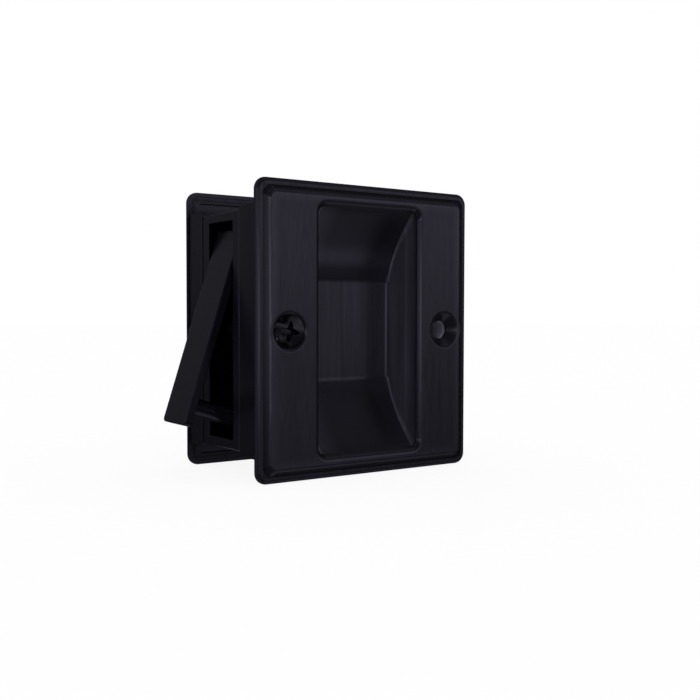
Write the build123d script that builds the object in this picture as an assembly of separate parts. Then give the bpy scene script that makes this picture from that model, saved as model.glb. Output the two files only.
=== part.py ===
"""Sliding door lock: two cup plates clamped on a door panel, with a flip-out edge pull between them.

X runs from the door's edge into the door, Y from the front plate to the rear plate, Z up.
The origin is the middle of the door panel's thickness, at the centre of both plates.
All sizes are millimetres.
"""
import os
from math import cos, radians, sin

from build123d import *

# Door panel and plates
door_thickness = 34.93
plate_width = 62.0
plate_height = 69.85
plate_corner = 2.8
sheet = 1.0

# Border of a plate, measured in from its edge and up from the door's face
bead_height = 1.4
bead_round = 1.0
crease_inset = 1.65
crease_width = 0.3
crease_depth = 0.2
field_height = 2.4
field_corner = 2.4
rise_width = 1.4
field_round = 1.2

# Finger cup, with its floor, its drafted side walls and its concave ends
cup_depth = 12.0
cup_side_margin = 16.3
cup_end_margin = 4.725
cup_open_corner = 3.0
cup_side_draft = 1.2
cup_end_run = 17.8
cup_end_sagitta = 1.45
cup_floor_round = 3.0
cup_hip_round = 0.8
cup_lip_round = 1.6

# Plate screws and the holes they go through
screw_inset = 8.1
screw_radius = 2.08
screw_head_radius = 4.1
screw_head_dome = 0.2
screw_end_gap = 2.4
screw_tip = 0.8
head_clearance = 0.05
hole_radius = 2.25
countersink_radius = 4.4
countersink_depth = 1.9
countersink_lip = 1.4
dimple_wall = 0.9
recess_depth = 2.0
recess_span = 4.6
recess_wing = 0.95
recess_core_radius = 1.15
recess_turn = -10.0

# Threaded posts on the rear plate
post_radius = 3.2
post_collar_radius = 4.5
thread_clearance = 0.02
post_bore_end = 1.2
post_seat_gap = 0.05
inner_post_gap = 0.6

# Edge brackets, which hide the cut-out in the door's edge
edge_inset = 0.5
bracket_sheet = 1.0
bracket_end_margin = 5.725
bracket_corner = 1.0
bracket_bend = 0.8
bracket_foot_width = 5.5
bracket_tab_setback = 0.1
bracket_tab_height = 15.0
front_joint_gap = 0.05
rear_joint_gap = 0.5
foot_hole_clearance = 0.3

# Edge housing, a cast channel with a window for the edge pull
housing_thickness = 19.05
housing_end_step = 1.0
housing_depth = 13.2
housing_edge_round = 0.4
window_width = 12.7
window_end_wall = 2.2
housing_back = 1.4
screw_way_clearance = 0.35
stop_radius = 1.0
stop_reach = 1.35
stop_gap = 0.1
open_stop_rise = 5.6
closed_stop_drop = 5.4

# Edge pull, drawn flush in its window and then swung out to where it rests
open_angle = 18.0
pull_side_gap = 0.4
pull_thickness = 2.0
pull_top_gap = 2.6
pull_bottom_gap = 1.1
pull_corner = 1.0
pull_edge_round = 0.35
pivot_below_window_top = 9.7
pivot_setback = 4.2
pivot_radius = 1.2
pivot_running = 0.05
pivot_press = 0.01
pivot_end_setback = 0.2
ear_thickness = 1.5
ear_radius = 2.4

# Round catch post on the pull's back
catch_post_radius = 2.3
catch_post_tip_radius = 2.0
catch_post_length = 13.5
catch_post_rise = 5.0
catch_post_dome = 1.1
catch_spigot_radius = 1.5
catch_spigot_length = 1.2
catch_spigot_clearance = 0.02

# Spring clip that grips the catch post, and its rivets
clip_sheet = 0.4
clip_side_gap = 0.35
clip_leg_height = 4.4
clip_leg_length = 4.6
clip_flare = 0.7
clip_base_below = 4.2
clip_base_above = 11.0
clip_base_width = 7.4
clip_way_radius = 3.1
clip_way_drop = 0.3
rivet_radius = 0.9
rivet_head_radius = 1.6
rivet_head_height = 0.7
rivet_head_round = 0.55
rivet_first_rise = 5.5
rivet_pitch = 3.7
rivet_clearance = 0.02

# Torsion spring round the pivot pin
wire_radius = 0.3
coil_clearance = 0.2
coil_pitch = 0.66
coil_turns = 4
spring_leg_angle = 30.0
spring_pull_leg = 9.0
spring_seat_gap = 0.05

# Used only to pick edges by where they lie
tolerance = 1e-4

# Places worked out from the sizes above
door_face = door_thickness / 2
face_front = field_height
cup_floor = field_height - cup_depth
cup_open_width = plate_width - 2 * cup_side_margin
cup_open_height = plate_height - 2 * cup_end_margin
cup_floor_width = cup_open_width - 2 * cup_side_draft
cup_floor_height = cup_open_height - 2 * cup_end_run
bracket_height = plate_height - 2 * bracket_end_margin
bracket_tab_width = housing_depth - bracket_sheet - bracket_tab_setback
housing_height = bracket_height - 2 * housing_end_step
window_height = housing_height - 2 * window_end_wall
pivot_height = window_height / 2 - pivot_below_window_top
pull_above_pivot = pivot_below_window_top - pull_top_gap
pull_below_pivot = window_height - pivot_below_window_top - pull_bottom_gap
edge_plane = -plate_width / 2 + edge_inset
housing_side = housing_thickness / 2
housing_rear = edge_plane + housing_depth
back_wall_face = housing_rear - housing_back
screw_x = plate_width / 2 - screw_inset
pivot_x = edge_plane + pivot_setback
pull_width = window_width - 2 * pull_side_gap
pull_back = pivot_setback - pull_thickness
swing = radians(open_angle)
catch_post_z = pivot_height - pull_below_pivot + catch_post_rise
coil_radius = pivot_radius + coil_clearance + wire_radius


def on_front(shape):
    """Turns a shape drawn on the door's face, facing up, to the front of the door."""
    return Pos(0, -door_face, 0) * Rot(90, 0, 0) * shape


def on_rear(shape):
    """Mirrors the front place of a shape to the rear of the door."""
    return mirror(on_front(shape), about=Plane.XZ)


def edges_at(shape, height, half_width, half_height):
    """Edges that lie at one height, inside a rectangle about the centre."""
    found = []
    for edge in shape.edges():
        box = edge.bounding_box()
        level = abs(box.min.Z - height) < tolerance and abs(box.max.Z - height) < tolerance
        inside = box.max.X < half_width and box.max.Y < half_height
        if level and inside and box.min.X > -half_width and box.min.Y > -half_height:
            found.append(edge)
    return found


def slab(width, height, corner, low, high):
    """A rounded rectangular slab between two heights."""
    return extrude(Pos(0, 0, low) * RectangleRounded(width, height, corner), high - low)


def cylinder_along_y(x, z, radius, low, high):
    """A round bar along Y between two places."""
    return Pos(x, low, z) * Rot(-90, 0, 0) * extrude(Circle(radius), high - low)


def cylinder_along_x(z, radius, low, high):
    """A round bar along X between two places."""
    return Pos(low, 0, z) * Rot(0, 90, 0) * extrude(Circle(radius), high - low)


def cup_space(wall=0.0):
    """The hollow of a finger cup, or with a wall, the outside of its shell."""
    half_floor = cup_floor_height / 2
    half_open = cup_open_height / 2
    above = face_front + sheet
    outline = Curve() + [
        Line((-half_floor, cup_floor), (half_floor, cup_floor)),
        SagittaArc((half_floor, cup_floor), (half_open, face_front), -cup_end_sagitta),
        Line((half_open, face_front), (half_open + sheet, above)),
        Line((half_open + sheet, above), (-half_open - sheet, above)),
        Line((-half_open - sheet, above), (-half_open, face_front)),
        SagittaArc((-half_open, face_front), (-half_floor, cup_floor), -cup_end_sagitta),
    ]
    side = make_face(outline)
    floor_ends = side.vertices().filter_by(lambda point: abs(point.Y - cup_floor) < tolerance)
    side = fillet(floor_ends, cup_floor_round)
    if wall:
        side = offset(side, wall, kind=Kind.INTERSECTION)
    along = extrude(Plane.YZ * side, cup_open_width, both=True)
    draft = cup_side_draft / cup_depth
    sections = []
    for height in (cup_floor - 2 * sheet, face_front + 2 * sheet):
        spread = draft * (height - face_front)
        width = cup_open_width + 2 * spread + 2 * wall
        tall = cup_open_height + 2 * wall
        sections.append(Pos(0, 0, height) * RectangleRounded(width, tall, cup_open_corner + wall))
    space = along & loft(sections)
    hips = []
    for edge in space.edges():
        box = edge.bounding_box()
        if box.max.Z < face_front - tolerance and box.min.X * box.max.X > 0:
            hips.append(edge)
    return fillet(hips, cup_hip_round)


def plate(holes):
    """A pressed plate with its beaded border and drawn cup, lying face up on the door."""
    body = slab(plate_width, plate_height, plate_corner, 0, bead_height)
    body = fillet(body.faces().sort_by(Axis.Z)[-1].outer_wire().edges(), bead_round)
    foot = crease_inset - crease_width
    groove = slab(plate_width - 2 * foot, plate_height - 2 * foot, field_corner + crease_width,
                  bead_height - crease_depth, bead_height)
    body -= groove
    top = crease_inset + rise_width
    rise = loft([
        Pos(0, 0, bead_height - crease_depth)
        * RectangleRounded(plate_width - 2 * crease_inset, plate_height - 2 * crease_inset, field_corner),
        Pos(0, 0, field_height)
        * RectangleRounded(plate_width - 2 * top, plate_height - 2 * top, field_corner - rise_width / 2),
    ])
    rise = fillet(rise.faces().sort_by(Axis.Z)[-1].outer_wire().edges(), field_round)
    body += rise
    body -= slab(plate_width - 2 * sheet, plate_height - 2 * sheet, plate_corner - sheet,
                 0, bead_height - sheet)
    inner = crease_inset + sheet
    body -= slab(plate_width - 2 * inner, plate_height - 2 * inner, field_corner - sheet / 2,
                 0, field_height - sheet)
    below_face = Pos(0, 0, face_front - cup_depth) * Box(plate_width, plate_height, 2 * cup_depth)
    body += cup_space(sheet) & below_face
    dimples = []
    if holes:
        dimples = [Pos(side * screw_x, 0, 0) for side in (-1, 1)]
    for place in dimples:
        shell = Cone(hole_radius + dimple_wall, countersink_radius + dimple_wall, field_height,
                     align=(Align.CENTER, Align.CENTER, Align.MIN))
        body += place * shell
    body -= cup_space()
    rim = edges_at(body, face_front, cup_open_width / 2 + cup_lip_round, cup_open_height / 2 + cup_lip_round)
    body = fillet(rim, cup_lip_round)
    for place in dimples:
        sink = Cone(hole_radius, countersink_radius, countersink_depth,
                    align=(Align.CENTER, Align.CENTER, Align.MAX))
        body -= place * Pos(0, 0, field_height) * sink
        body -= place * Cylinder(hole_radius, 2 * field_height)
    if holes:
        lips = body.edges().filter_by(GeomType.CIRCLE)
        lips = lips.filter_by(lambda edge: abs(edge.radius - countersink_radius) < tolerance)
        body = fillet(lips, countersink_lip)
    return body


def plate_screw():
    """The flat-head screw in the front plate's hole at the door's edge, with its crossed recess."""
    slope = (countersink_radius - hole_radius) / countersink_depth
    head_height = (screw_head_radius - screw_radius) / slope
    head_drop = (countersink_radius - screw_head_radius) / slope - head_clearance
    bore_end = field_height - sheet - post_bore_end
    screw_length = field_height - head_drop + door_thickness + bore_end - screw_end_gap
    dome_radius = (screw_head_radius**2 + screw_head_dome**2) / 2 / screw_head_dome
    profile = Curve() + [
        RadiusArc((0, screw_head_dome), (screw_head_radius, 0), dome_radius),
        Line((screw_head_radius, 0), (screw_radius, -head_height)),
        Line((screw_radius, -head_height), (screw_radius, -screw_length + screw_tip)),
        Line((screw_radius, -screw_length + screw_tip), (screw_radius - screw_tip, -screw_length)),
        Line((screw_radius - screw_tip, -screw_length), (0, -screw_length)),
        Line((0, -screw_length), (0, screw_head_dome)),
    ]
    body = revolve(Plane.XZ * make_face(profile), Axis.Z)
    narrow = recess_span / 2
    wing = loft([
        Pos(0, 0, screw_head_dome) * Rectangle(recess_span, recess_wing),
        Pos(0, 0, -recess_depth) * Rectangle(narrow, recess_wing / 2),
    ])
    body -= wing
    body -= Rot(0, 0, 90) * wing
    core = Cone(recess_core_radius / 2, recess_core_radius, recess_depth + screw_head_dome,
                align=(Align.CENTER, Align.CENTER, Align.MAX))
    body -= Pos(0, 0, screw_head_dome) * core
    return on_front(Pos(-screw_x, 0, field_height - head_drop) * Rot(0, 0, recess_turn) * body)


def screw_post(x, length):
    """A turned post with a blind threaded bore, standing on the inside of the rear plate."""
    seat = field_height - sheet
    blank = Cylinder(post_collar_radius, seat, align=(Align.CENTER, Align.CENTER, Align.MIN))
    blank += Cylinder(post_radius, length, align=(Align.CENTER, Align.CENTER, Align.MAX))
    bore_radius = screw_radius + thread_clearance
    bore_length = length + seat - post_bore_end
    bore = Cylinder(bore_radius, bore_length, align=(Align.CENTER, Align.CENTER, Align.MIN))
    blank -= Pos(0, 0, -length) * bore
    return on_rear(Pos(x, 0, 0) * blank)


def edge_bracket(joint_gap, hole):
    """An angle strip: its wall lies in the door's edge and its foot behind the plate."""
    reach = door_face - housing_side - joint_gap
    corner_x = edge_plane
    outline = Polyline(
        (corner_x, 0),
        (corner_x + bracket_foot_width, 0),
        (corner_x + bracket_foot_width, -bracket_sheet),
        (corner_x + bracket_sheet, -bracket_sheet),
        (corner_x + bracket_sheet, -reach),
        (corner_x, -reach),
        close=True,
    )
    section = make_face(outline)
    corner = section.vertices().filter_by(lambda point: abs(point.Y) < tolerance).sort_by(Axis.X)[0]
    section = fillet(corner, bracket_bend)
    wall = extrude(Plane.XZ * section, bracket_height / 2, both=True)
    far = [edge for edge in wall.edges().filter_by(Axis.X) if abs(edge.center().Z + reach) < tolerance]
    wall = fillet(far, bracket_corner)
    tab = Pos(corner_x + bracket_sheet, 0, 0) * Box(
        bracket_tab_width, bracket_tab_height, bracket_sheet, align=(Align.MIN, Align.CENTER, Align.MAX))
    wall += tab
    wall -= Pos(-screw_x, 0, 0) * Cylinder(hole, 4 * bracket_sheet)
    return wall


def edge_housing():
    """The cast channel between the brackets, with bores, stops and a way for the catch post."""
    block = Pos(edge_plane, 0, 0) * Box(housing_depth, housing_thickness, housing_height,
                                        align=(Align.MIN, Align.CENTER, Align.CENTER))
    block = fillet(block.edges(), housing_edge_round)
    block -= Pos(edge_plane, 0, 0) * Box(housing_depth - housing_back, window_width, window_height,
                                         align=(Align.MIN, Align.CENTER, Align.CENTER))
    block -= cylinder_along_y(-screw_x, 0, screw_radius + screw_way_clearance, -housing_side, housing_side)
    block -= cylinder_along_y(pivot_x, pivot_height, pivot_radius + pivot_press, -housing_side, housing_side)
    middle = catch_post_z - clip_way_drop
    block -= cylinder_along_x(middle, clip_way_radius, back_wall_face - housing_back, housing_rear + housing_back)
    hole = rivet_radius + rivet_clearance
    for z in rivet_heights():
        block -= cylinder_along_x(z, hole, back_wall_face - housing_back, housing_rear + housing_back)
    for x, z in (open_stop(), closed_stop()):
        for side in (-1, 1):
            wall = side * window_width / 2
            low, high = sorted((wall - side * stop_reach, wall + side * stop_reach / 2))
            block += cylinder_along_y(x, z, stop_radius, low, high)
    return block


def open_stop():
    """Where the nubs stand that the swung-out pull's upper arm rests on."""
    across = -pull_back + stop_gap + stop_radius
    x = across * cos(swing) + open_stop_rise * sin(swing)
    z = -across * sin(swing) + open_stop_rise * cos(swing)
    return pivot_x + x, pivot_height + z


def closed_stop():
    """Where the nubs stand that the closed pull's lower arm rests on."""
    return pivot_x - pull_back + stop_gap + stop_radius, pivot_height - closed_stop_drop


def swung(shape):
    """Turns a shape drawn on the closed pull to where the open pull rests."""
    return Pos(pivot_x, 0, pivot_height) * Rot(0, open_angle, 0) * shape


def edge_pull():
    """The flat pull with two ears for its pivot pin and a blind seat for the catch post."""
    length = pull_above_pivot + pull_below_pivot
    middle = (pull_above_pivot - pull_below_pivot) / 2
    bar = extrude(Plane.YZ * Pos(0, middle) * RectangleRounded(pull_width, length, pull_corner), pull_thickness)
    bar = Pos(-pivot_setback, 0, 0) * bar
    front = bar.faces().sort_by(Axis.X)[0]
    bar = fillet(front.outer_wire().edges(), pull_edge_round)
    for side in (-1, 1):
        outer = side * pull_width / 2
        low, high = sorted((outer, outer - side * ear_thickness))
        ear = cylinder_along_y(0, 0, ear_radius, low, high)
        ear += Pos(-pull_back, (low + high) / 2, 0) * Box(
            pull_back, ear_thickness, 2 * ear_radius, align=(Align.MIN, Align.CENTER, Align.CENTER))
        bar += ear
    bar -= cylinder_along_y(0, 0, pivot_radius + pivot_running, -pull_width, pull_width)
    seat = catch_spigot_radius + catch_spigot_clearance
    bar -= cylinder_along_x(catch_post_z - pivot_height, seat,
                            -pull_back - catch_spigot_length - catch_spigot_clearance, -pull_back)
    return swung(bar)


def catch_post():
    """The round post on the pull's back: a spigot, a gently tapered stem and a domed end."""
    stem_end = catch_post_length - catch_post_dome
    dome_radius = (catch_post_tip_radius**2 + catch_post_dome**2) / 2 / catch_post_dome
    profile = Curve() + [
        Line((0, -catch_spigot_length), (catch_spigot_radius, -catch_spigot_length)),
        Line((catch_spigot_radius, -catch_spigot_length), (catch_spigot_radius, 0)),
        Line((catch_spigot_radius, 0), (catch_post_radius, 0)),
        Line((catch_post_radius, 0), (catch_post_tip_radius, stem_end)),
        RadiusArc((catch_post_tip_radius, stem_end), (0, catch_post_length), -dome_radius),
        Line((0, catch_post_length), (0, -catch_spigot_length)),
    ]
    body = revolve(Plane.XZ * make_face(profile), Axis.Z)
    return swung(Pos(-pull_back, 0, catch_post_z - pivot_height) * Rot(0, 90, 0) * body)


def pivot_pin():
    """The plain pin pressed through the housing's two walls."""
    reach = housing_side - pivot_end_setback
    return cylinder_along_y(pivot_x, pivot_height, pivot_radius, -reach, reach)


def rivet_heights():
    """Heights of the two rivets of the catch clip, above the way for the catch post."""
    first = catch_post_z - clip_way_drop + rivet_first_rise
    return first, first + rivet_pitch


def catch_clip():
    """The spring clip on the housing's back wall, with two flared legs beside the post."""
    middle = catch_post_z - clip_way_drop
    base = Pos(back_wall_face, 0, middle - clip_base_below) * Box(
        clip_sheet, clip_base_width, clip_base_below + clip_base_above,
        align=(Align.MAX, Align.CENTER, Align.MIN))
    base -= cylinder_along_x(middle, clip_way_radius - clip_sheet, back_wall_face - clip_sheet, back_wall_face)
    hole = rivet_radius + rivet_clearance
    for z in rivet_heights():
        base -= cylinder_along_x(z, hole, back_wall_face - clip_sheet, back_wall_face)
    inner = catch_post_radius + clip_side_gap
    start = back_wall_face - clip_sheet / 2
    bend = start - clip_leg_length
    for side in (-1, 1):
        strip = Polyline(
            (start, side * inner),
            (bend, side * inner),
            (bend - clip_flare, side * (inner + clip_flare)),
            (bend - clip_flare, side * (inner + clip_flare + clip_sheet)),
            (bend - clip_sheet / 2, side * (inner + clip_sheet)),
            (start, side * (inner + clip_sheet)),
            close=True,
        )
        leg = extrude(make_face(strip), clip_leg_height / 2, both=True)
        base += Pos(0, 0, middle) * leg
    return base


def clip_rivets():
    """Two rivets that hold the catch clip to the housing's back wall."""
    rivets = []
    for z in rivet_heights():
        shank = cylinder_along_x(z, rivet_radius, back_wall_face - clip_sheet, housing_rear)
        head = cylinder_along_x(z, rivet_head_radius, back_wall_face - clip_sheet - rivet_head_height,
                                back_wall_face - clip_sheet)
        head = fillet(head.faces().sort_by(Axis.X)[0].outer_wire().edges(), rivet_head_round)
        tail = cylinder_along_x(z, rivet_head_radius, housing_rear, housing_rear + rivet_head_height)
        tail = fillet(tail.faces().sort_by(Axis.X)[-1].outer_wire().edges(), rivet_head_round)
        rivets.append(shank + head + tail)
    return rivets[0] + rivets[1]


def return_spring():
    """The torsion spring: one leg lies on the pull's back and the other on the back wall."""
    sweep_angle = 180 - open_angle - spring_leg_angle + 360 * coil_turns
    length = coil_pitch * sweep_angle / 360
    coil = Helix(coil_pitch, length, coil_radius, lefthand=True)
    coil = Rot(0, -spring_leg_angle, 0) * Pos(0, -length / 2, 0) * Rot(-90, 0, 0) * coil
    wall_way = (coil % 0) * -1
    wall_run = back_wall_face - wire_radius - spring_seat_gap - pivot_x - (coil @ 0).X
    wall_end = coil @ 0 + wall_way * (wall_run / wall_way.X)
    pull_end = coil @ 1 + (coil % 1) * spring_pull_leg
    path = Wire([Line(wall_end, coil @ 0), coil, Line(coil @ 1, pull_end)])
    section = Plane(origin=path @ 0, z_dir=path % 0) * Circle(wire_radius)
    return Pos(pivot_x, 0, pivot_height) * sweep(section, path=path, is_frenet=True)


nodes = {
    "front_plate": on_front(plate(holes=True)),
    "rear_plate": on_rear(plate(holes=False)),
    "plate_screw": plate_screw(),
    "edge_screw_post": screw_post(-screw_x, door_face - housing_side - post_seat_gap),
    "inner_screw_post": screw_post(screw_x, door_thickness - inner_post_gap),
    "front_edge_bracket": on_front(edge_bracket(front_joint_gap, screw_radius + foot_hole_clearance)),
    "rear_edge_bracket": on_rear(edge_bracket(rear_joint_gap, post_radius + foot_hole_clearance)),
    "edge_housing": edge_housing(),
    "edge_pull": edge_pull(),
    "catch_post": catch_post(),
    "pivot_pin": pivot_pin(),
    "return_spring": return_spring(),
    "catch_clip": catch_clip(),
    "clip_rivets": clip_rivets(),
}

os.makedirs("parts", exist_ok=True)
for name, shape in nodes.items():
    export_step(shape, f"parts/{name}.step")
    print(f"{name}: {shape.volume:.1f} mm3")
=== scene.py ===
"""Looks of the sliding door lock: finishes, the threaded screw, the wound spring and the studio.

X runs from the door's edge into the door, Y from the front plate to the rear plate, Z up, all in
metres.
"""

import logging
import math
from dataclasses import dataclass
from enum import Enum
from typing import Any

import bmesh
import bpy
from mathutils import Matrix, Vector

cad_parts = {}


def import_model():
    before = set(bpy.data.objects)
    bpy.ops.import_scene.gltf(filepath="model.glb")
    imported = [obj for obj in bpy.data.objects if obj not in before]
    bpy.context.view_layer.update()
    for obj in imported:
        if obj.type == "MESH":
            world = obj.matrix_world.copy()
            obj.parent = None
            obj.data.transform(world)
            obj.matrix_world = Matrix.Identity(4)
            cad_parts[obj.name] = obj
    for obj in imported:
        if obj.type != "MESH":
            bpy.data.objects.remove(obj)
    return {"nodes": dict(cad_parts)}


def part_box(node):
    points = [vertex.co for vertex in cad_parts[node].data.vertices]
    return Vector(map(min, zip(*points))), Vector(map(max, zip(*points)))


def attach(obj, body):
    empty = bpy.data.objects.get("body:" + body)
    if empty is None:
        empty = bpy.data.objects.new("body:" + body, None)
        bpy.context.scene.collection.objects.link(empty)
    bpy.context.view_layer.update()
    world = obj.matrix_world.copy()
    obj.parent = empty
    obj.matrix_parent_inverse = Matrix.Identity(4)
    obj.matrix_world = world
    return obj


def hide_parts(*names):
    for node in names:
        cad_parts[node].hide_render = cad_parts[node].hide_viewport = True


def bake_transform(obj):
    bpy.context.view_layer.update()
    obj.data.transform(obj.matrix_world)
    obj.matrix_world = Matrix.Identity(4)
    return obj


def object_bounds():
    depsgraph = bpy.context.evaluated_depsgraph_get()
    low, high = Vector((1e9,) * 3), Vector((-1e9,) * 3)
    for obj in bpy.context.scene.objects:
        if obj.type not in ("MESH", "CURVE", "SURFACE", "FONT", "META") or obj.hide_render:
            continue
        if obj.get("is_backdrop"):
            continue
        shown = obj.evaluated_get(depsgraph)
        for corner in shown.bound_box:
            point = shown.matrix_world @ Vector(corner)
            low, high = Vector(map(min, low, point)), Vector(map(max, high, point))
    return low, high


LOG = logging.getLogger("sliding_door_lock")
MM = 0.001
FULL_TURN = 360.0
SHARP_ANGLE = math.radians(40.0)
BEVEL_SAMPLES = 6
Colour = tuple[float, float, float]
Point = tuple[float, float, float]
Ring = list[Point]
Face = tuple[int, ...]
Stops = tuple[tuple[float, float], ...]


def grey(level: float) -> Colour:
    """Returns a neutral colour of one level."""
    return (level, level, level)


class Signal:
    """A socket of a node tree that can stand in a sum."""

    def __init__(self, bench: "Bench", socket: bpy.types.NodeSocket) -> None:
        """Wraps one output socket.

        Args:
            bench: The bench whose tree the socket is in.
            socket: The output socket.
        """
        self.bench = bench
        self.socket = socket

    def _maths(self, operation: str, *values: Any) -> "Signal":
        """Returns the signal of a Math node on these values."""
        return self.bench.node("ShaderNodeMath", {"operation": operation}, dict(enumerate(values)))

    def __add__(self, other: Any) -> "Signal":
        """Returns the sum with a number or signal."""
        return self._maths("ADD", self, other)

    __radd__ = __add__

    def __sub__(self, other: Any) -> "Signal":
        """Returns this less a number or signal."""
        return self._maths("SUBTRACT", self, other)

    def __rsub__(self, other: Any) -> "Signal":
        """Returns a number or signal less this."""
        return self._maths("SUBTRACT", other, self)

    def __mul__(self, other: Any) -> "Signal":
        """Returns the product with a number or signal."""
        return self._maths("MULTIPLY", self, other)

    __rmul__ = __mul__

    def __truediv__(self, other: Any) -> "Signal":
        """Returns this divided by a number or signal."""
        return self._maths("DIVIDE", self, other)

    def __rtruediv__(self, other: Any) -> "Signal":
        """Returns a number or signal divided by this."""
        return self._maths("DIVIDE", other, self)

    def __pow__(self, other: Any) -> "Signal":
        """Returns this raised to a power."""
        return self._maths("POWER", self, other)

    def __gt__(self, other: Any) -> "Signal":
        """Returns 1 where this is the greater, and 0 elsewhere."""
        return self._maths("GREATER_THAN", self, other)

    def __lt__(self, other: Any) -> "Signal":
        """Returns 1 where this is the lesser, and 0 elsewhere."""
        return self._maths("LESS_THAN", self, other)

    def __abs__(self) -> "Signal":
        """Returns the size of this without its sign."""
        return self._maths("ABSOLUTE", self)

    def least(self, other: Any) -> "Signal":
        """Returns the lesser of this and a number or signal."""
        return self._maths("MINIMUM", self, other)


class Bench:
    """The node tree of one material or world, and the one way that nodes are put into it."""

    def __init__(self, tree: bpy.types.NodeTree) -> None:
        """Clears a tree for use.

        Args:
            tree: The node tree.
        """
        self.tree = tree
        tree.nodes.clear()

    def node(self, kind: str, settings: dict[str, Any], inputs: dict[Any, Any],
             output: Any = 0) -> Signal | None:
        """Adds a node.

        Args:
            kind: The node's type.
            settings: What is set on the node itself, before its sockets; "stops" are a ramp's.
            inputs: Values or signals of its sockets, by name or number.
            output: The output to return, by name or number.

        Returns:
            The signal of that output, or None for a node that has no outputs.
        """
        made = self.tree.nodes.new(kind)
        for key, value in settings.items():
            if key == "stops":
                self._set_stops(made, value)
            else:
                setattr(made, key, value)
        for key, value in inputs.items():
            if isinstance(value, Signal):
                self.tree.links.new(value.socket, made.inputs[key])
            else:
                made.inputs[key].default_value = value
        return Signal(self, made.outputs[output]) if made.outputs else None

    @staticmethod
    def _set_stops(ramp: bpy.types.Node, stops: Stops) -> None:
        """Gives a ramp its grey stops.

        Args:
            ramp: The ramp node.
            stops: Places and levels, from left to right.
        """
        elements = ramp.color_ramp.elements
        while len(elements) < len(stops):
            elements.new(1.0)
        for element, (place, level) in zip(elements, stops):
            element.position = place
            element.color = (*grey(level), 1.0)

    def place(self) -> Signal:
        """Returns the place on the object, in metres in the object's frame."""
        return self.node("ShaderNodeTexCoord", {}, {}, "Object")

    def facing(self) -> Signal:
        """Returns how squarely the surface faces along Y, from 0 to 1."""
        return abs(self.parts(self.node("ShaderNodeTexCoord", {}, {}, "Normal"))[1])

    def parts(self, vector: Signal) -> tuple[Signal, ...]:
        """Returns the three parts of a vector."""
        outputs = self.node("ShaderNodeSeparateXYZ", {}, {0: vector}).socket.node.outputs
        return tuple(Signal(self, outputs[axis]) for axis in "XYZ")

    def uneven(self, place: Signal, cell: Point, octaves: float, share: float = 0.5) -> Signal:
        """Makes smooth unevenness.

        Args:
            place: Where it is read.
            cell: Size of its coarsest cells along each axis, in metres.
            octaves: Number of octaves.
            share: Share of each finer octave.

        Returns:
            Its signal, from -0.5 to 0.5.
        """
        scaled = self.node("ShaderNodeVectorMath", {"operation": "MULTIPLY"}, {
            0: place, 1: tuple(1 / size for size in cell)})
        return self.node("ShaderNodeTexNoise", {}, {
            "Vector": scaled, "Scale": 1.0, "Detail": octaves, "Roughness": share}, "Fac") - 0.5

    def ramp(self, value: Signal, low: float, high: float,
             levels: tuple[float, float] = (0.0, 1.0)) -> Signal:
        """Makes an even rise that stops at both ends.

        Args:
            value: What it follows.
            low: The value at its start.
            high: The value at its end.
            levels: Its level at the start and at the end.

        Returns:
            Its signal.
        """
        return self.node("ShaderNodeMapRange", {"clamp": True}, {
            "Value": value, "From Min": low, "From Max": high,
            "To Min": levels[0], "To Max": levels[1]}, "Result")

    def tone(self, share: Signal, stops: Stops) -> Signal:
        """Makes a tone from stops whose levels run from 0 for the darkest to 1 for the palest.

        Args:
            share: How far along the stops the surface is, from 0 to 1.
            stops: Places and levels, from left to right.

        Returns:
            Its signal, from -1 to 1.
        """
        return self.node("ShaderNodeValToRGB", {"stops": stops}, {0: share}, "Color") * 2 - 1

    def tint(self, colour: Colour, level: Signal) -> Signal:
        """Returns a colour multiplied by a level."""
        return self.node("ShaderNodeVectorMath", {"operation": "SCALE"}, {
            0: colour, "Scale": level})

    def bump(self, height: Signal, depth: float, edge: float = 0.0) -> Signal:
        """Makes normals bent by a height.

        Args:
            height: The height.
            depth: What a height of 1 stands for, in metres.
            edge: How far the sharp edges are eased, in metres.

        Returns:
            The signal of the normals.
        """
        inputs = {"Height": height, "Distance": depth}
        if edge:
            inputs["Normal"] = self.node("ShaderNodeBevel", {"samples": BEVEL_SAMPLES}, {
                "Radius": edge})
        return self.node("ShaderNodeBump", {}, inputs, "Normal")

    def surface(self, **sockets: Any) -> None:
        """Ends the tree in a Principled shader.

        Args:
            sockets: Signals or numbers of its sockets, named with _ for a space.
        """
        shader = self.node("ShaderNodeBsdfPrincipled", {}, {})
        for key, value in sockets.items():
            socket = shader.socket.node.inputs[key.replace("_", " ")]
            if isinstance(value, Signal):
                self.tree.links.new(value.socket, socket)
            else:
                socket.default_value = value
        self.end(shader)

    def end(self, shader: Signal) -> None:
        """Ends the tree in a shader."""
        self.node("ShaderNodeOutputMaterial", {}, {"Surface": shader})


def new_material(name: str) -> tuple[bpy.types.Material, Bench]:
    """Makes a material.

    Args:
        name: The material's name.

    Returns:
        The material, and the bench of its empty tree.
    """
    made = bpy.data.materials.new(name)
    made.use_nodes = True
    return made, Bench(made.node_tree)


def put_in_scene(name: str, data: bpy.types.ID) -> bpy.types.Object:
    """Makes an object and links it to the scene.

    Args:
        name: The object's name.
        data: Its mesh, lamp or camera.

    Returns:
        The object.
    """
    made = bpy.data.objects.new(name, data)
    bpy.context.scene.collection.objects.link(made)
    return made


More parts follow.
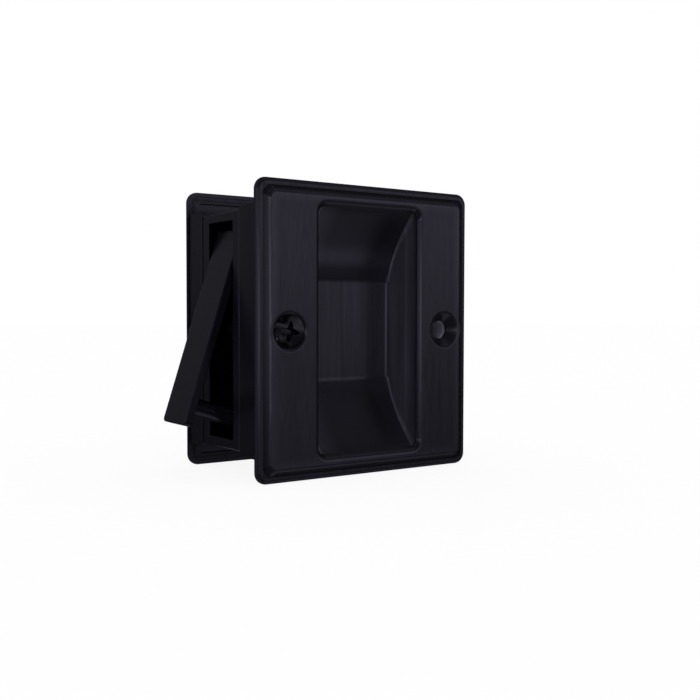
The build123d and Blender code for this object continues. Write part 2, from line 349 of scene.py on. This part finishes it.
@dataclass(frozen=True)
class Finish:
    """A finish, the same for every piece that has it."""

    name: str
    colour: Colour
    roughness: float
    metallic: float = 1.0

    def material(self) -> bpy.types.Material:
        """Finds the finish's material, which is made the first time.

        Returns:
            The material.
        """
        made = bpy.data.materials.get(self.name)
        if made is None:
            made, bench = new_material(self.name)
            self.wire(bench)
        return made

    def wire(self, bench: Bench) -> None:
        """Puts the finish's nodes on a bench."""
        raise NotImplementedError


@dataclass(frozen=True)
class BrushedBlack(Finish):
    """Satin black over a pressing that was brushed up and down on its flats.

    Fine upright lines show on the flats. Tones painted by place stand in for light and shade:
    painted shade in the border's crease and a painted highlight on its rise, painted highlight and
    shade lines on the cup's walls, painted reflection bands on its slopes, and painted light on
    its floor and beside its walls. Its places are distances from the middle of the lock, either
    way.
    """

    # Brushing
    line: float = 0.24 * MM
    line_length: float = 7.0 * MM
    line_tone: float = 1.2
    line_roughness: float = 0.10
    streak: float = 1.2 * MM
    streak_length: float = 36.0 * MM
    streak_tone: float = 0.45
    streak_roughness: float = 0.12
    streak_height: float = 0.3
    brush_depth: float = 4.0 * MM
    cloud: float = 16.0 * MM
    cloud_tone: float = 0.10
    depth: float = 0.004 * MM
    flat_from: float = 0.93
    flat_to: float = 0.99
    # Border, with painted shade in its crease and a painted highlight on its rise
    half_width: float = 31.0 * MM
    half_height: float = 34.925 * MM
    border: float = 6.0 * MM
    border_painted_light_stops: Stops = (
        (0.0, 0.5), (0.24, 0.52), (0.29, 0.28), (0.35, 0.36), (0.45, 0.56), (0.57, 0.70),
        (0.72, 0.62), (0.92, 0.5))
    # Floor of the cup, with painted light on it and beside the cup's walls
    floor_below: float = 9.0 * MM
    floor_tone: float = 1.5
    floor_level: float = 0.14
    lip_below: float = 18.6 * MM
    beside_from: float = 7.5 * MM
    beside_painted_light: float = 0.8
    # Walls of the cup, with painted highlight and shade lines along them, darkest by the lip
    wall_from: float = 13.2 * MM
    wall_to: float = 13.6 * MM
    wall_limit: float = 15.4 * MM
    wall_end: float = 30.0 * MM
    wall_metallic: float = 0.05
    band: Point = (100.0 / 3 * MM, 2.6 * MM, 36.0 * MM)
    band_tone: float = 1.2
    wall_foot: float = 7.87 * MM
    wall_rise: float = 12.0 * MM
    wall_painted_light_stops: Stops = (
        (0.0, 0.42), (0.3, 0.48), (0.56, 0.50), (0.61, 0.68), (0.65, 0.48), (0.75, 0.38),
        (0.86, 0.28), (0.94, 0.14))
    # Slopes of the cup, with painted reflection bands across them
    slope_foot: float = 12.4 * MM
    slope_run: float = 17.8 * MM
    upper_painted_light_stops: Stops = (
        (0.0, 0.74), (0.17, 0.72), (0.24, 0.94), (0.31, 1.0), (0.36, 0.90), (0.43, 0.66),
        (0.50, 0.48), (0.58, 0.42), (0.75, 0.37), (1.0, 0.40))
    lower_painted_light_stops: Stops = (
        (0.0, 0.80), (0.11, 0.73), (0.18, 0.65), (0.25, 0.56), (0.32, 0.51), (0.46, 0.46),
        (0.74, 0.42), (0.95, 0.42))

    def wire(self, bench: Bench) -> None:
        """Puts the finish's nodes on a bench.

        Args:
            bench: The bench of the finish's material.
        """
        place = bench.place()
        x, y, z = bench.parts(place)
        out_x, out_y, out_z = abs(x), abs(y), abs(z)
        flat = bench.ramp(bench.facing(), self.flat_from, self.flat_to)
        floor = flat * (out_y < self.floor_below)
        face = flat - floor
        sunk = (1 - flat) * (out_y < self.lip_below)
        wall = sunk * bench.ramp(out_x, self.wall_from, self.wall_to) * (
            out_x < self.wall_limit) * (out_z < self.wall_end)
        slope = sunk * (out_x < self.wall_to) * (out_z > self.slope_foot)

        lines = bench.uneven(
            place, (self.line, self.brush_depth, self.line_length), octaves=2.0, share=0.6)
        streaks = bench.uneven(
            place, (self.streak, self.brush_depth, self.streak_length), octaves=2.0)
        clouds = bench.uneven(place, (self.cloud,) * 3, octaves=1.0)
        bands = bench.uneven(place, self.band, octaves=1.0)

        inset = (self.half_width - out_x).least(self.half_height - out_z)
        wall_share = (out_y - self.wall_foot) / self.wall_rise
        slope_share = (out_z - self.slope_foot) / self.slope_run
        # Painted light on the floor and slopes beside the cup's walls
        beside = bench.ramp(out_x, self.beside_from, self.wall_to) * (floor + slope)
        # Painted reflection bands across the cup's slopes
        slope_painted_light = (bench.tone(slope_share, self.upper_painted_light_stops) * (z > 0.0)
                      + bench.tone(slope_share, self.lower_painted_light_stops) * (z < 0.0))
        level = lines * face * self.line_tone
        level += streaks * (face * self.streak_tone + floor * self.floor_tone)
        # The floor's own level is painted light, and the slopes' tones are painted reflections
        level += clouds * self.cloud_tone + floor * self.floor_level + slope * slope_painted_light
        level += beside * self.beside_painted_light
        # Painted highlight and shade lines along the cup's walls
        level += wall * (bands * self.band_tone + bench.tone(wall_share, self.wall_painted_light_stops))
        # Painted shade in the border's crease and a painted highlight on its rise
        level += bench.tone(inset / self.border, self.border_painted_light_stops)
        bench.surface(
            Base_Color=bench.tint(self.colour, level + 1.0),
            Metallic=wall * (self.wall_metallic - self.metallic) + self.metallic,
            Roughness=streaks * flat * self.streak_roughness
            + lines * face * self.line_roughness + self.roughness,
            Normal=bench.bump(lines * face + streaks * self.streak_height * floor, self.depth),
        )


@dataclass(frozen=True)
class SatinBlack(Finish):
    """Smooth satin black with a barely uneven skin, eased edges and, if asked for, painted shade
    on its flanks.
    """

    pore: float = 0.35 * MM
    pore_tone: float = 0.06
    pore_depth: float = 0.003 * MM
    cloud: float = 9.0 * MM
    cloud_tone: float = 0.12
    cloud_roughness: float = 0.10
    edge: float = 0.22 * MM
    flank_facing: float = 0.9
    flank_painted_shade: float = 1.0

    def wire(self, bench: Bench) -> None:
        """Puts the finish's nodes on a bench.

        Args:
            bench: The bench of the finish's material.
        """
        place = bench.place()
        pores = bench.uneven(place, (self.pore,) * 3, octaves=2.0)
        clouds = bench.uneven(place, (self.cloud,) * 3, octaves=2.0)
        # Painted shade on the flanks that face along Y
        flank = (bench.facing() > self.flank_facing) * (self.flank_painted_shade - 1)
        level = clouds * self.cloud_tone + pores * self.pore_tone + flank + 1.0
        bench.surface(
            Base_Color=bench.tint(self.colour, level),
            Metallic=self.metallic,
            Roughness=clouds * self.cloud_roughness + self.roughness,
            Normal=bench.bump(pores, self.pore_depth, self.edge),
        )


@dataclass(frozen=True)
class CastBlack(Finish):
    """Satin black on a casting: faintly grained outside, dull inside its window, where painted
    shade darkens it.
    """

    grain: float = 0.25 * MM
    grain_tone: float = 0.10
    grain_depth: float = 0.006 * MM
    cloud: float = 5.0 * MM
    cloud_tone: float = 0.14
    cloud_roughness: float = 0.08
    edge: float = 0.22 * MM
    painted_shade_inside: float = 0.06
    inside_roughness: float = 0.75
    window_half: float = 6.45 * MM
    window_top: float = 26.1 * MM
    mouth: float = -30.2 * MM
    fade: float = 0.35 * MM

    def wire(self, bench: Bench) -> None:
        """Puts the finish's nodes on a bench.

        Args:
            bench: The bench of the finish's material.
        """
        place = bench.place()
        x, y, z = bench.parts(place)
        grains = bench.uneven(place, (self.grain,) * 3, octaves=3.0, share=0.6)
        clouds = bench.uneven(place, (self.cloud,) * 3, octaves=2.0)
        # Inside the window: duller, and darkened by painted shade
        inside = bench.ramp(x, self.mouth - self.fade, self.mouth + self.fade) * (
            abs(y) < self.window_half) * (abs(z) < self.window_top)
        level = clouds * self.cloud_tone + grains * self.grain_tone + 1.0
        bench.surface(
            Base_Color=bench.tint(self.colour, level * (1 - inside * (1 - self.painted_shade_inside))),
            Metallic=self.metallic,
            Roughness=inside * (self.inside_roughness - self.roughness)
            + clouds * self.cloud_roughness + self.roughness,
            Normal=bench.bump(grains, self.grain_depth, self.edge),
        )


@dataclass(frozen=True)
class TurnedMetal(Finish):
    """Bare or darkened metal with the fine rings that turning leaves about an axis along Y.

    The axis lies at height 0. A dome and dents bend the normals of a head, and a shank is rougher.
    """

    ring: float = 0.12 * MM
    ring_tone: float = 0.24
    ring_roughness: float = 0.12
    ring_depth: float = 0.004 * MM
    cloud: float = 1.5 * MM
    cloud_tone: float = 0.2
    cloud_roughness: float = 0.1
    axis_x: float = -22.9 * MM
    shank_from: float = -17.5 * MM
    shank_roughness: float = 0.0
    dome: float = 0.0
    dome_radius: float = 4.1 * MM
    dome_power: float = 2.4
    dent: float = 0.0
    dent_size: float = 3.2 * MM

    def wire(self, bench: Bench) -> None:
        """Puts the finish's nodes on a bench.

        Args:
            bench: The bench of the finish's material.
        """
        place = bench.place()
        x, y, z = bench.parts(place)
        out_x = x - self.axis_x
        radius = (out_x * out_x + z * z) ** 0.5
        along = bench.node("ShaderNodeCombineXYZ", {}, {0: radius, 1: y, 2: 0.0})
        rings = bench.uneven(along, (self.ring,) * 3, octaves=1.0)
        clouds = bench.uneven(place, (self.cloud,) * 3, octaves=2.0)
        dents = bench.uneven(place, (self.dent_size,) * 3, octaves=0.0)
        shape = dents * self.dent - (radius / self.dome_radius) ** self.dome_power * self.dome
        bench.surface(
            Base_Color=bench.tint(
                self.colour, rings * self.ring_tone + clouds * self.cloud_tone + 1.0),
            Metallic=self.metallic,
            Roughness=(y > self.shank_from) * self.shank_roughness
            + rings * self.ring_roughness + clouds * self.cloud_roughness + self.roughness,
            Normal=bench.bump(rings * self.ring_depth + shape, 1.0),
        )


class Stock(Enum):
    """The finishes of the lock."""

    PLATE = BrushedBlack("brushed_black", (0.0374, 0.0354, 0.0517), 0.23, 0.85)
    TRIM = SatinBlack("smooth_black", (0.0470, 0.0435, 0.0680), 0.22, 0.90)
    # The pull's flanks get painted shade
    PULL = SatinBlack("pull_black", (0.0440, 0.0405, 0.0660), 0.24, 0.90, flank_painted_shade=0.35)
    HOUSING = CastBlack("cast_black", (0.0500, 0.0463, 0.0720), 0.25, 0.90)
    SCREW = TurnedMetal("polished_black", (0.0400, 0.0385, 0.0490), 0.12,
                        shank_roughness=0.45, dome=0.42 * MM, dent=0.75 * MM)
    POST = TurnedMetal("turned_zinc", (0.31, 0.30, 0.38), 0.60, 0.4)
    SPRING = SatinBlack("drawn_steel", (0.12, 0.12, 0.13), 0.28)


def skin(rings: list[Ring], base: int = 0) -> list[Face]:
    """Joins rings into a closed round skin, with a cap over the first and the last.

    Args:
        rings: The rings in order, all with as many points.
        base: The number of the first ring's first point.

    Returns:
        The skin's faces, by the numbers of their points.
    """
    count = len(rings[0])
    faces = []
    for row in range(len(rings) - 1):
        here = base + row * count
        for step in range(count):
            after = (step + 1) % count
            faces.append((here + step, here + after, here + count + after, here + count + step))
    last = base + (len(rings) - 1) * count
    faces.append(tuple(range(base + count - 1, base - 1, -1)))
    faces.append(tuple(range(last, last + count)))
    return faces


def piece(name: str, verts: list[Point], faces: list[Face], stock: Stock) -> bpy.types.Object:
    """Makes a smooth piece with outward normals, in the scene and in its finish.

    Args:
        name: The piece's name.
        verts: Its points.
        faces: Its faces, by the numbers of their points.
        stock: Its finish.

    Returns:
        The piece.
    """
    mesh = bpy.data.meshes.new(name)
    mesh.from_pydata(verts, [], faces)
    work = bmesh.new()
    work.from_mesh(mesh)
    bmesh.ops.recalc_face_normals(work, faces=work.faces)
    work.to_mesh(mesh)
    work.free()
    mesh.shade_smooth()
    mesh.set_sharp_from_angle(angle=SHARP_ANGLE)
    mesh.materials.append(stock.value.material())
    return put_in_scene(name, mesh)


@dataclass(frozen=True)
class ReturnSpring:
    """The torsion spring round the pivot pin, whose long leg the pull turns; here it is one fixed
    wound piece.
    """

    name: str = "return_spring_wound"
    node: str = "return_spring"
    fixed_body: str = "case"
    moving_body: str = "pull"
    slot: str = "spring_steel"
    finish: Stock = Stock.SPRING
    pivot_x: float = -26.3 * MM
    pivot_z: float = 16.3 * MM
    wire_radius: float = 0.3 * MM
    wire_sides: int = 16
    coil_radius: float = 1.7 * MM
    pitch: float = 0.66 * MM
    first_turn: float = 30.0
    last_turn: float = 1602.0
    turn_step: float = 9.0
    wall_x: float = -19.05 * MM
    pull_leg: float = 9.0 * MM
    leg_steps: int = 8

    def _coil(self, turn: float) -> tuple[Vector, Vector]:
        """Finds a place on the coil.

        Args:
            turn: How far round the coil it is, in degrees.

        Returns:
            The wire's middle and its direction there.
        """
        angle = math.radians(turn)
        out_x, out_z = self.coil_radius * math.cos(angle), self.coil_radius * math.sin(angle)
        along = self.pitch * (turn - (self.first_turn + self.last_turn) / 2) / FULL_TURN
        ahead = Vector((-out_z, self.pitch / math.tau, out_x))
        return Vector((self.pivot_x + out_x, along, self.pivot_z + out_z)), ahead.normalized()

    def _route(self) -> list[tuple[Vector, Vector]]:
        """Follows the wire from the leg on the wall to the leg on the pull.

        Returns:
            The wire's middles and directions, in order.
        """
        span = self.last_turn - self.first_turn
        steps = round(span / self.turn_step)
        coil = [self._coil(self.first_turn + span * step / steps) for step in range(steps + 1)]
        (first, out), (last, on) = coil[0], coil[-1]
        wall_leg = (first.x - self.wall_x) / out.x
        shares = [step / self.leg_steps for step in range(1, self.leg_steps + 1)]
        wall = [(first - out * wall_leg * share, out) for share in reversed(shares)]
        pull = [(last + on * self.pull_leg * share, on) for share in shares]
        return wall + coil + pull

    def _section(self, middle: Vector, ahead: Vector) -> Ring:
        """Makes the wire's round section.

        Args:
            middle: The wire's middle.
            ahead: The wire's direction.

        Returns:
            The section's points.
        """
        out = ahead.cross(Vector((0.0, 1.0, 0.0))).normalized()
        up = ahead.cross(out)
        angles = (math.tau * side / self.wire_sides for side in range(self.wire_sides))
        return [tuple(middle + self.wire_radius * (out * math.cos(angle) + up * math.sin(angle)))
                for angle in angles]

    def build(self) -> None:
        """Puts the spring in the plain solid's place, bent between the housing and the pull."""
        rings = [self._section(middle, ahead) for middle, ahead in self._route()]
        verts = [point for ring in rings for point in ring]
        spring = piece(self.name, verts, skin(rings), self.finish)
        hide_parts(self.node)
        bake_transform(spring)
        LOG.info("edge: %s in %s", spring.name, self.finish.value.name)


@dataclass(frozen=True)
class PlateScrew:
    """The flat-head screw at the door's edge, with a pressed crossed recess and a rolled thread.

    Its rings and points are made with their depths below the top of the head's dome as Y.
    """

    name: str = "plate_screw_threaded"
    node: str = "plate_screw"
    body: str = "case"
    slot: str = "screw_black"
    finish: Stock = Stock.SCREW
    # Head
    head_radius: float = 4.1 * MM
    head_dome: float = 0.2 * MM
    head_edge: float = 0.12 * MM
    edge_shoulder: tuple[float, float] = (0.4, 0.2)
    head_height: float = 1.78 * MM
    head_steps: int = 176
    head_rings: int = 64
    # Recess
    recess_half: float = 2.35 * MM
    recess_floor: float = 1.25 * MM
    recess_wing: float = 0.74 * MM
    recess_tip: float = 0.24 * MM
    recess_wall: float = 0.30 * MM
    recess_depth: float = 1.9 * MM
    recess_power: float = 0.8
    recess_core: float = 1.15 * MM
    recess_core_wall: float = 0.45
    recess_turn: float = -10.0
    # Thread
    core_radius: float = 1.70 * MM
    crest_radius: float = 2.07 * MM
    sunk_root: float = 0.05 * MM
    pitch: float = 25.4 / 32 * MM
    crest: float = 0.14
    root: float = 0.40
    runout: float = 1.5
    tip_gap: float = 0.5
    least_height: float = 0.1
    turn_steps: int = 32
    tip: float = 0.8 * MM

    @staticmethod
    def _ease(share: float) -> float:
        """Returns a share held between 0 and 1, with soft ends."""
        held = min(1.0, max(0.0, share))
        return held * held * (3 - 2 * held)

    def _recess(self, x: float, z: float) -> float:
        """Finds how far the recess lies under the head's dome.

        Args:
            x: The place across the head.
            z: The place up the head.

        Returns:
            The depth there, in metres.
        """
        turn = math.radians(self.recess_turn)
        across = abs(x * math.cos(turn) + z * math.sin(turn))
        up = abs(z * math.cos(turn) - x * math.sin(turn))
        core = (self.recess_core - math.hypot(x, z)) / (self.recess_core * self.recess_core_wall)
        cut = self._ease(core)
        for along, side in ((across, up), (up, across)):
            fall = (self.recess_half - along) / (self.recess_half - self.recess_floor)
            half = (self.recess_wing
                    + (self.recess_tip - self.recess_wing) * along / self.recess_half)
            wall = (half + self.recess_wall / 2 - side) / self.recess_wall
            cut = max(cut, min(1.0, max(0.0, fall)) ** self.recess_power * self._ease(wall))
        return self.recess_depth * cut

    @staticmethod
    def _circle(radius: float, depth: float, steps: int) -> Ring:
        """Returns a level ring of points."""
        angles = [math.tau * step / steps for step in range(steps)]
        return [(radius * math.cos(angle), depth, radius * math.sin(angle)) for angle in angles]

    def _head(self) -> list[Ring]:
        """Makes the head, from the middle of its dome to its underside.

        Returns:
            The head's rings.
        """
        rings = []
        for row in range(1, self.head_rings + 1):
            radius = (self.head_radius - self.head_edge) * row / self.head_rings
            dome = self.head_dome * (radius / self.head_radius) ** 2
            rings.append([(x, dome + self._recess(x, z), z)
                          for x, _, z in self._circle(radius, 0.0, self.head_steps)])
        inward, down = self.edge_shoulder
        for radius, drop in (
            (self.head_radius - inward * self.head_edge, down * self.head_edge),
            (self.head_radius, self.head_edge),
            (self.core_radius, self.head_height),
        ):
            rings.append(self._circle(radius, self.head_dome + drop, self.head_steps))
        return rings

    def _core(self, length: float) -> list[Ring]:
        """Makes the plain core under the thread.

        Args:
            length: From the top of the dome to the tip.

        Returns:
            The core's rings.
        """
        neck = self.head_dome + self.head_height - 2 * (self.crest_radius - self.core_radius)
        return [self._circle(radius, depth, self.turn_steps) for radius, depth in (
            (self.core_radius, neck), (self.core_radius, length - self.tip),
            (self.core_radius - self.tip, length))]

    def _thread(self, length: float) -> tuple[list[Point], list[Face]]:
        """Makes the ridge that winds round the core.

        Args:
            length: From the top of the dome to the tip.

        Returns:
            The ridge's points and faces.
        """
        start = self.head_dome + self.head_height + self.runout * self.pitch
        turns = (length - self.tip - start) / self.pitch - self.tip_gap
        count = int(turns * self.turn_steps)
        foot = self.core_radius - self.sunk_root
        verts = []
        for step in range(count + 1):
            fade = min(1.0, step / self.turn_steps, (count - step) / self.turn_steps)
            height = self.least_height + (1 - self.least_height) * fade
            top = foot + (self.crest_radius - foot) * height
            angle = math.tau * step / self.turn_steps
            depth = start + step / self.turn_steps * self.pitch
            for radius, part in ((foot, -self.root), (top, -self.crest),
                                 (top, self.crest), (foot, self.root)):
                verts.append((
                    radius * math.cos(angle), depth + part * self.pitch, radius * math.sin(angle)))
        faces = [(a, b, b + 4, a + 4) for step in range(count)
                 for a, b in ((4 * step + part, 4 * step + (part + 1) % 4) for part in range(4))]
        faces += [(3, 2, 1, 0), tuple(4 * count + part for part in range(4))]
        return verts, faces

    def build(self) -> None:
        """Puts the screw in the plain solid's place."""
        low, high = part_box(self.node)
        length = high[1] - low[1]
        head, core = self._head(), self._core(length)
        ridge, ridge_faces = self._thread(length)
        verts = [point for ring in head for point in ring]
        faces = skin(head) + skin(core, len(verts))
        verts += [point for ring in core for point in ring]
        faces += [tuple(len(verts) + number for number in face) for face in ridge_faces]
        verts += ridge
        middle_x, middle_z = (low[0] + high[0]) / 2, (low[2] + high[2]) / 2
        placed = [(x + middle_x, y + low[1], z + middle_z) for x, y, z in verts]
        screw = piece(self.name, placed, faces, self.finish)
        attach(screw, self.body)
        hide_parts(self.node)
        LOG.info("fixings: %s in %s", screw.name, self.finish.value.name)


@dataclass(frozen=True)
class SubAssembly:
    """Solids that keep their shape and get a finish each, and the pieces made to go with them."""

    label: str
    finishes: tuple[tuple[str, Stock], ...]

    def dress(self, nodes: dict[str, bpy.types.Object]) -> None:
        """Gives each solid its finish.

        Args:
            nodes: The frame's solids by name.
        """
        for name, stock in self.finishes:
            for slot in nodes[name].material_slots:
                slot.material = stock.value.material()
            LOG.info("%s: %s in %s", self.label, name, stock.value.name)

    def build(self) -> None:
        """Makes the pieces that replace solids, where the sub-assembly has any."""


@dataclass(frozen=True)
class Plates(SubAssembly):
    """The two pressed plates that clamp the door."""

    label: str = "plates"
    finishes: tuple[tuple[str, Stock], ...] = (
        ("front_plate", Stock.PLATE),
        ("rear_plate", Stock.PLATE),
    )


@dataclass(frozen=True)
class Fixings(SubAssembly):
    """The screw and the posts that hold the plates together."""

    label: str = "fixings"
    finishes: tuple[tuple[str, Stock], ...] = (
        ("edge_screw_post", Stock.POST),
        ("inner_screw_post", Stock.POST),
    )
    screw: PlateScrew = PlateScrew()

    def build(self) -> None:
        """Makes the threaded screw."""
        self.screw.build()


@dataclass(frozen=True)
class Edge(SubAssembly):
    """The housing in the door's edge, its brackets, and what the pull turns on and clips into."""

    label: str = "edge"
    finishes: tuple[tuple[str, Stock], ...] = (
        ("front_edge_bracket", Stock.TRIM),
        ("rear_edge_bracket", Stock.TRIM),
        ("edge_housing", Stock.HOUSING),
        ("pivot_pin", Stock.POST),
        ("catch_clip", Stock.SPRING),
        ("clip_rivets", Stock.POST),
    )
    spring: ReturnSpring = ReturnSpring()

    def build(self) -> None:
        """Makes the wound spring."""
        self.spring.build()


@dataclass(frozen=True)
class Pull(SubAssembly):
    """The pull that swings out of the housing, with its catch post."""

    label: str = "pull"
    finishes: tuple[tuple[str, Stock], ...] = (
        ("edge_pull", Stock.PULL),
        ("catch_post", Stock.TRIM),
    )


@dataclass(frozen=True)
class Card:
    """A card bent round the lock, far off, that only its gloss sees.

    Turns and rises are in degrees. A turn of 0 is straight in front of the front plate, and turns
    grow towards the door.
    """

    name: str
    turn: tuple[float, float]
    rise: tuple[float, float]
    level: tuple[float, float]
    away: float = 1.5
    step: float = 7.5

    def _places(self, ends: tuple[float, float]) -> list[float]:
        """Returns angles from one end to the other in even steps, in radians."""
        count = max(1, round((ends[1] - ends[0]) / self.step))
        return [math.radians(ends[0] + (ends[1] - ends[0]) * k / count) for k in range(count + 1)]

    def build(self) -> None:
        """Stands the card in its place."""
        turns, rises = self._places(self.turn), self._places(self.rise)
        verts = [(self.away * math.cos(rise) * math.sin(turn),
                  -self.away * math.cos(rise) * math.cos(turn),
                  self.away * math.sin(rise)) for turn in turns for rise in rises]
        row = len(rises)
        faces = [(k, k + row, k + row + 1, k + 1) for column in range(len(turns) - 1)
                 for k in range(column * row, column * row + row - 1)]
        mesh = bpy.data.meshes.new(self.name)
        mesh.from_pydata(verts, [], faces)
        made, bench = new_material(self.name)
        foot, top = (self.away * math.sin(rise) for rise in (rises[0], rises[-1]))
        level = bench.ramp(bench.parts(bench.place())[2], foot, top, self.level)
        bench.end(bench.node("ShaderNodeEmission", {}, {"Color": bench.tint(grey(1.0), level)}))
        mesh.materials.append(made)
        card = put_in_scene(self.name, mesh)
        card.visible_camera = False
        card.visible_diffuse = False
        card.visible_shadow = False
        card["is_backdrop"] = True


CARDS = (
    Card("card_ahead_high", (5.0, 60.0), (8.0, 24.0), (0.62, 0.12)),
    Card("card_ahead_middle", (5.0, 60.0), (-2.0, 8.0), (0.32, 0.62)),
    Card("card_ahead_low", (5.0, 36.0), (-20.0, -2.0), (0.10, 0.32)),
    Card("card_beside_low", (36.0, 60.0), (-20.0, -2.0), (0.05, 0.17)),
    Card("card_floor_ahead", (22.0, 80.0), (-70.0, -45.0), (0.40, 0.26)),
    Card("card_floor_round_it", (22.0, 80.0), (-90.0, -35.0), (0.46, 0.20), 1.55),
    Card("card_roof_ahead", (20.0, 80.0), (35.0, 90.0), (0.17, 0.17)),
    Card("card_left_strip", (-90.0, -45.0), (-5.0, 15.0), (0.50, 0.50)),
    Card("card_left_behind", (-180.0, -130.0), (0.0, 35.0), (0.068, 0.140)),
    Card("card_left_beside", (-130.0, -90.0), (-35.0, 35.0), (0.16, 0.34)),
    Card("card_left_roof", (-180.0, -50.0), (35.0, 90.0), (0.18, 0.18)),
    Card("card_left_floor", (-180.0, -50.0), (-90.0, -35.0), (0.16, 0.16)),
    Card("card_behind_low", (115.0, 165.0), (-35.0, -8.0), (0.20, 0.80)),
    Card("card_behind_middle", (165.0, 180.0), (-20.0, 20.0), (0.40, 0.40)),
    Card("card_behind_high", (115.0, 165.0), (8.0, 35.0), (0.16, 0.02)),
    Card("card_dark_left", (-180.0, 115.0), (-35.0, 35.0), (0.03, 0.03), 1.7),
    Card("card_dark_behind", (165.0, 180.0), (-35.0, 35.0), (0.03, 0.03), 1.7),
    Card("card_dark_roof", (-180.0, 180.0), (35.0, 90.0), (0.03, 0.03), 1.7),
    Card("card_dark_floor", (-180.0, 180.0), (-90.0, -35.0), (0.04, 0.04), 1.7),
)


@dataclass(frozen=True)
class Studio:
    """The white surroundings, the pale floor, the lamp, the cards and the camera."""

    floor_z: float
    floor_half: float = 3.0
    floor_level: float = 0.70
    floor_seen: float = 0.93
    floor_glow: float = 0.90
    lamp_at: Point = (-0.536, -1.293, 0.0)
    lamp_width: float = 1.10
    lamp_height: float = 0.245
    lamp_watts: float = 1.23
    camera_at: Point = (-135.93 * MM, -208.01 * MM, 4.307 * MM)
    camera_yaw: float = 0.6032
    camera_pitch: float = 0.0388
    camera_roll: float = 0.0018
    camera_clip: float = 0.01
    sensor_width: float = 36.0
    focal_share: float = 959.53 / 700

    def build(self) -> None:
        """Builds everything round the lock."""
        self._room()
        self._floor()
        self._lamp()
        for card in CARDS:
            card.build()
        self._camera()

    def _room(self) -> None:
        """Makes the surroundings plain white."""
        world = bpy.data.worlds.new("room")
        bpy.context.scene.world = world
        world.use_nodes = True
        bench = Bench(world.node_tree)
        light = bench.node("ShaderNodeBackground", {}, {
            "Color": (*grey(1.0), 1.0), "Strength": 1.0})
        bench.node("ShaderNodeOutputWorld", {}, {"Surface": light})

    def _floor(self) -> None:
        """Lays the floor under the lock, paler where the camera sees it."""
        half = self.floor_half
        mesh = bpy.data.meshes.new("floor")
        corners = [(-half, -half, 0.0), (half, -half, 0.0), (half, half, 0.0), (-half, half, 0.0)]
        mesh.from_pydata(corners, [], [(0, 1, 2, 3)])
        made, bench = new_material("floor_pale")
        camera = bench.node("ShaderNodeLightPath", {}, {}, "Is Camera Ray")
        level = camera * (self.floor_seen - self.floor_level) + self.floor_level
        paint = bench.node("ShaderNodeBsdfDiffuse", {}, {"Color": bench.tint(grey(1.0), level)})
        white = bench.node("ShaderNodeEmission", {}, {"Color": (*grey(1.0), 1.0)})
        bench.end(bench.node("ShaderNodeMixShader", {}, {
            0: camera * self.floor_glow, 1: paint, 2: white}))
        mesh.materials.append(made)
        floor = put_in_scene("floor", mesh)
        floor.location = (0.0, 0.0, self.floor_z)
        floor.visible_glossy = False
        floor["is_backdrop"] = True

    def _lamp(self) -> None:
        """Hangs the long soft lamp, which points at the lock."""
        data = bpy.data.lights.new("long_lamp", "AREA")
        data.shape = "RECTANGLE"
        data.size = self.lamp_width
        data.size_y = self.lamp_height
        data.energy = self.lamp_watts
        lamp = put_in_scene("long_lamp", data)
        lamp.location = self.lamp_at
        lamp.rotation_euler = (-Vector(self.lamp_at)).to_track_quat("-Z", "Y").to_euler()

    def _camera(self) -> None:
        """Sets the camera up where the photograph was taken from."""
        yaw, pitch, roll = self.camera_yaw, self.camera_pitch, self.camera_roll
        ahead = Vector((
            math.sin(yaw) * math.cos(pitch), math.cos(yaw) * math.cos(pitch), -math.sin(pitch)))
        right = Vector((math.cos(yaw), -math.sin(yaw), 0.0))
        up = right.cross(ahead)
        turned_right = right * math.cos(roll) + up * math.sin(roll)
        turned_up = up * math.cos(roll) - right * math.sin(roll)
        data = bpy.data.cameras.new("camera")
        data.sensor_width = self.sensor_width
        data.lens = self.sensor_width * self.focal_share
        data.clip_start = self.camera_clip
        camera = put_in_scene("camera", data)
        axes = Matrix((turned_right, turned_up, -ahead)).transposed()
        camera.matrix_world = Matrix.Translation(self.camera_at) @ axes.to_4x4()
        bpy.context.scene.camera = camera


def main() -> None:
    """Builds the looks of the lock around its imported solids."""
    logging.basicConfig(level=logging.INFO, format="%(name)s: %(message)s")
    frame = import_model()
    cad_box = [list(corner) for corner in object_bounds()]
    bpy.context.scene.view_settings.view_transform = "Standard"
    for group in (Plates(), Fixings(), Edge(), Pull()):
        group.dress(frame["nodes"])
        group.build()
    Studio(cad_box[0][2]).build()


if __name__ == "__main__":
    main()
